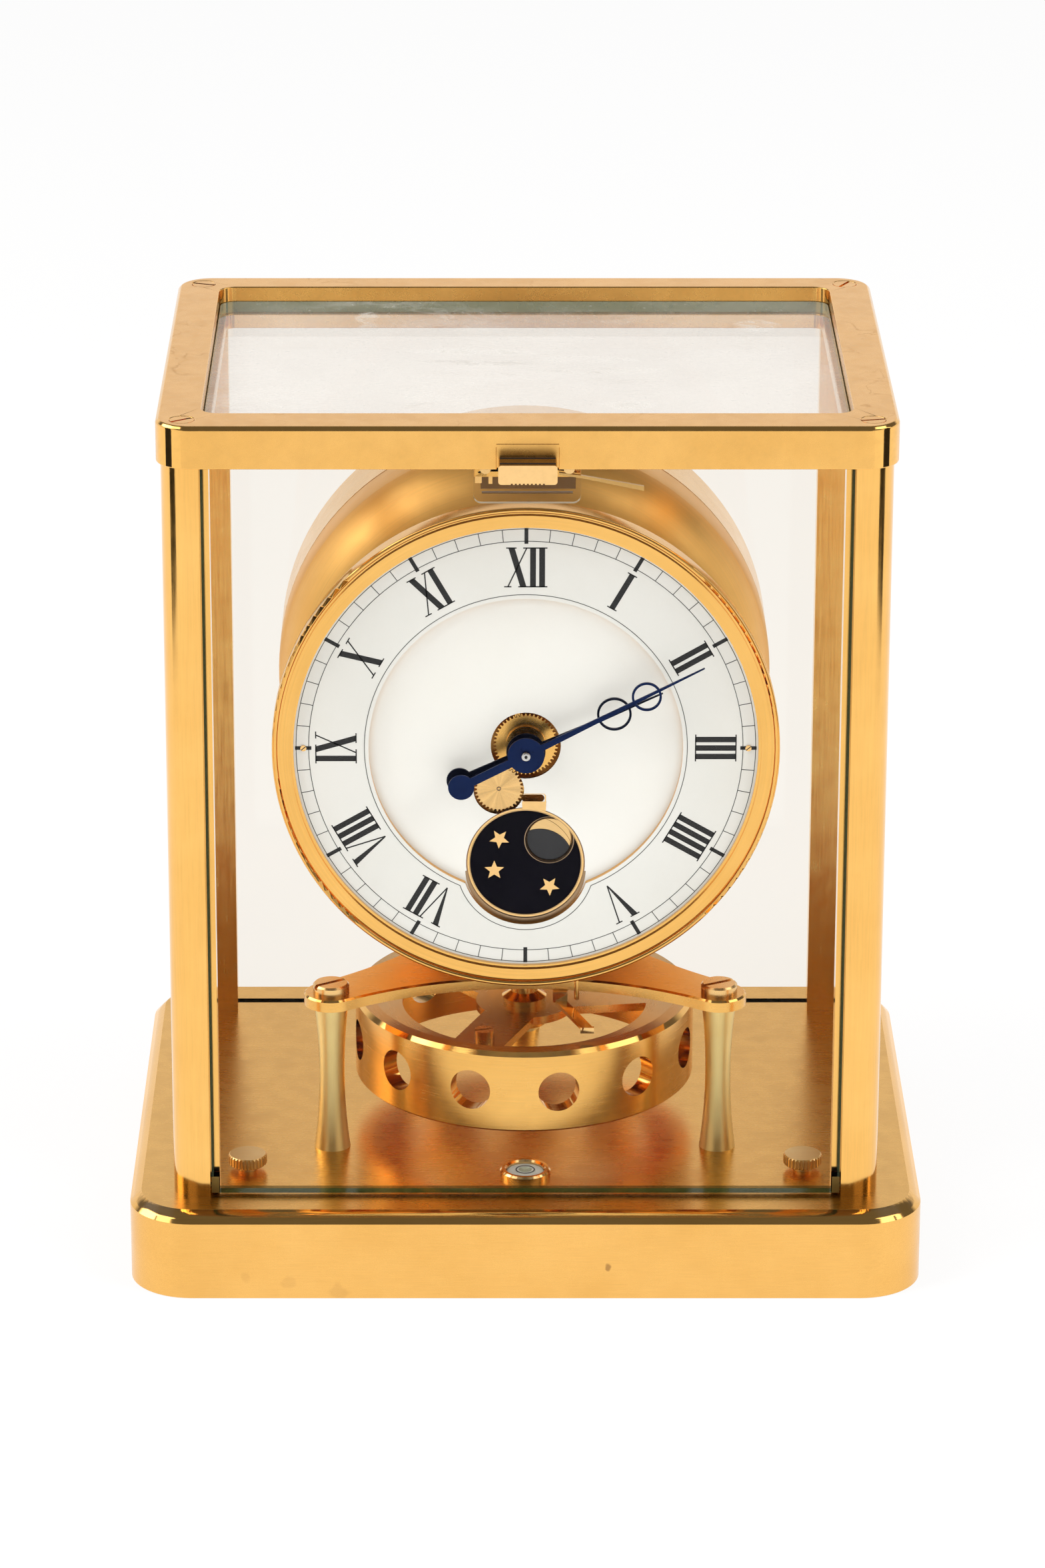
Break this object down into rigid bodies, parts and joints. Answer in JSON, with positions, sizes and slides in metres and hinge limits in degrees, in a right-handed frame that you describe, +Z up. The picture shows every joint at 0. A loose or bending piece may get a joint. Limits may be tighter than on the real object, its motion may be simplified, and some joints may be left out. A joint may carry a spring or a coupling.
{
  "type": "moon phase desk clock",
  "caption": "Glass-cased desk clock with an air-driven torsion pendulum, moon phase dial, tilting front door, lift latch and two levelling screws.",
  "frame": {"origin": "on the table under the centre of the base", "axes": "+Z up, +Y to the back, so the dial faces -Y, and +X to the right of someone facing the dial"},
  "size_m": [0.208, 0.16, 0.235],
  "materials": {
    "gilt_case": "gilt, satin brushed",
    "gilt_polished": "gilt, polished",
    "brass_train": "machined brass",
    "steel": "machined steel",
    "blued_steel": "blued",
    "glass": "polished float glass",
    "clear_plastic": "clear",
    "dial_white": "matt silvered white",
    "sky_black": "gloss black enamel",
    "moon_dark": "matt dark grey",
    "cover_black": "matt black"
  },
  "bodies": {
    "case": {"base_plinth": "gilt_case", "bellows_capsule": "brass_train", "bezel": "gilt_polished", "bottom_cover": "cover_black", "bottom_cover_screws": "steel", "chapter_ring": "dial_white", "dial_screws": "gilt_polished", "door_leaf_spring": "steel", "drum_cover": "gilt_case", "drum_shell": "gilt_case", "frame_screws": "gilt_polished", "front_posts": "gilt_polished", "guard_plate": "clear_plastic", "guard_screws": "gilt_polished", "inner_dial": "dial_white", "level_bezel": "gilt_polished", "level_vial": "glass", "lever_screw": "gilt_polished", "movement_back_plate": "brass_train", "movement_front_plate": "brass_train", "plate_pillars": "brass_train", "platform": "gilt_case", "platform_pillars": "gilt_case", "platform_screws": "gilt_polished", "rear_glass": "glass", "rear_posts": "gilt_polished", "side_glasses": "glass", "sky_plate": "sky_black", "sky_rim": "gilt_polished", "sky_stars": "gilt_polished", "suspension_bracket": "gilt_polished", "top_frame": "gilt_case", "top_glass": "glass", "torsion_wire": "steel"},
    "door": {"front_glass": "glass", "door_shoes": "gilt_polished"},
    "latch": {"latch_button": "gilt_polished"},
    "foot_left": {"levelling_foot_left": "steel"},
    "screw_left": {"levelling_screw_left": "gilt_polished"},
    "foot_right": {"levelling_foot_right": "steel"},
    "screw_right": {"levelling_screw_right": "gilt_polished"},
    "pendulum": {"pendulum_ring": "gilt_case", "pendulum_pin": "gilt_polished"},
    "lock_lever": {"lock_lever": "gilt_polished"},
    "lock_collar": {"lock_collar": "gilt_polished"},
    "minute_arbor": {"centre_wheel": "brass_train", "cannon_pinion": "steel", "minute_hand": "blued_steel"},
    "minute_wheel": {"minute_wheel": "brass_train"},
    "hour_wheel": {"hour_wheel": "brass_train", "hour_hand": "blued_steel"},
    "moon_idler": {"moon_idler": "brass_train"},
    "moon_third_wheel": {"moon_third_wheel": "brass_train"},
    "moon_wheel": {"moon_wheel": "brass_train", "moon_disc": "gilt_polished", "moon_mask": "moon_dark"},
    "barrel": {"barrel": "brass_train"},
    "escape_wheel": {"escape_wheel": "brass_train"},
    "pallet_fork": {"pallet_fork": "steel"}
  },
  "joints": [
    {"name": "door_tilt", "type": "hinge", "parent": "case", "child": "door", "pos_m": [0, -0.06725, 0.0268], "axis": [1, 0, 0], "range_deg": [0, 75]},
    {"name": "latch_lift", "type": "slide", "parent": "case", "child": "latch", "axis": [0, 0, 1], "range_m": [0, 0.002], "stiffness_N_per_m": 80, "springref_m": -0.003},
    {"name": "levelling_foot_left_slide", "type": "slide", "parent": "case", "child": "foot_left", "axis": [0, 0, -1], "range_m": [0, 0.00125]},
    {"name": "levelling_screw_left_turn", "type": "hinge", "parent": "foot_left", "child": "screw_left", "pos_m": [-0.0735, -0.0506, 0.0241], "axis": [0, 0, -1], "range_deg": [0, 900]},
    {"name": "levelling_foot_right_slide", "type": "slide", "parent": "case", "child": "foot_right", "axis": [0, 0, -1], "range_m": [0, 0.00125]},
    {"name": "levelling_screw_right_turn", "type": "hinge", "parent": "foot_right", "child": "screw_right", "pos_m": [0.0735, -0.0506, 0.0241], "axis": [0, 0, -1], "range_deg": [0, 900]},
    {"name": "pendulum_turn", "type": "hinge", "parent": "case", "child": "pendulum", "pos_m": [0, -0.006, 0.035], "axis": [0, 0, 1], "range_deg": [-270, 270]},
    {"name": "lock_lever_swing", "type": "hinge", "parent": "case", "child": "lock_lever", "pos_m": [0.0094, -0.015, 0.0652], "axis": [0, 0, -1], "range_deg": [0, 18]},
    {"name": "lock_collar_drop", "type": "slide", "parent": "case", "child": "lock_collar", "axis": [0, 0, -1], "range_m": [0, 0.0008]},
    {"name": "minute_turn", "type": "hinge", "parent": "case", "child": "minute_arbor", "pos_m": [0, -0.0245, 0.1378], "axis": [0, 1, 0], "continuous": true},
    {"name": "minute_wheel_turn", "type": "hinge", "parent": "case", "child": "minute_wheel", "pos_m": [-0.00264, -0.0245, 0.14765], "axis": [0, 1, 0], "continuous": true},
    {"name": "hour_turn", "type": "hinge", "parent": "case", "child": "hour_wheel", "pos_m": [0, -0.0245, 0.1378], "axis": [0, 1, 0], "continuous": true},
    {"name": "moon_idler_turn", "type": "hinge", "parent": "case", "child": "moon_idler", "pos_m": [-0.00701, -0.0245, 0.12536], "axis": [0, 1, 0], "continuous": true},
    {"name": "moon_third_turn", "type": "hinge", "parent": "case", "child": "moon_third_wheel", "pos_m": [-0.00116, -0.0245, 0.11614], "axis": [0, 1, 0], "continuous": true},
    {"name": "moon_turn", "type": "hinge", "parent": "case", "child": "moon_wheel", "pos_m": [0, -0.0245, 0.105], "axis": [0, 1, 0], "continuous": true},
    {"name": "barrel_turn", "type": "hinge", "parent": "case", "child": "barrel", "pos_m": [0.0105, -0.0245, 0.15599], "axis": [0, 1, 0], "continuous": true},
    {"name": "escape_turn", "type": "hinge", "parent": "case", "child": "escape_wheel", "pos_m": [0.00845, -0.0245, 0.12191], "axis": [0, 1, 0], "continuous": true},
    {"name": "pallet_rock", "type": "hinge", "parent": "case", "child": "pallet_fork", "pos_m": [0.00845, -0.0245, 0.10761], "axis": [0, 1, 0], "range_deg": [-3, 3]}
  ],
  "couplings": [
    {"joint": "minute_wheel_turn", "follows": "minute_turn", "ratio": -0.33333},
    {"joint": "hour_turn", "follows": "minute_turn", "ratio": 0.083333},
    {"joint": "moon_idler_turn", "follows": "minute_turn", "ratio": -0.11111},
    {"joint": "moon_third_turn", "follows": "minute_turn", "ratio": 0.012698},
    {"joint": "moon_turn", "follows": "minute_turn", "ratio": -0.0014109},
    {"joint": "barrel_turn", "follows": "minute_turn", "ratio": -0.16667},
    {"joint": "escape_turn", "follows": "minute_turn", "ratio": -4},
    {"joint": "lock_collar_drop", "follows": "lock_lever_swing", "m_per_rad": 0.0025462},
    {"joint": "levelling_screw_left_turn", "follows": "levelling_foot_left_slide", "rad_per_m": 12566},
    {"joint": "levelling_screw_right_turn", "follows": "levelling_foot_right_slide", "rad_per_m": 12566}
  ]
}
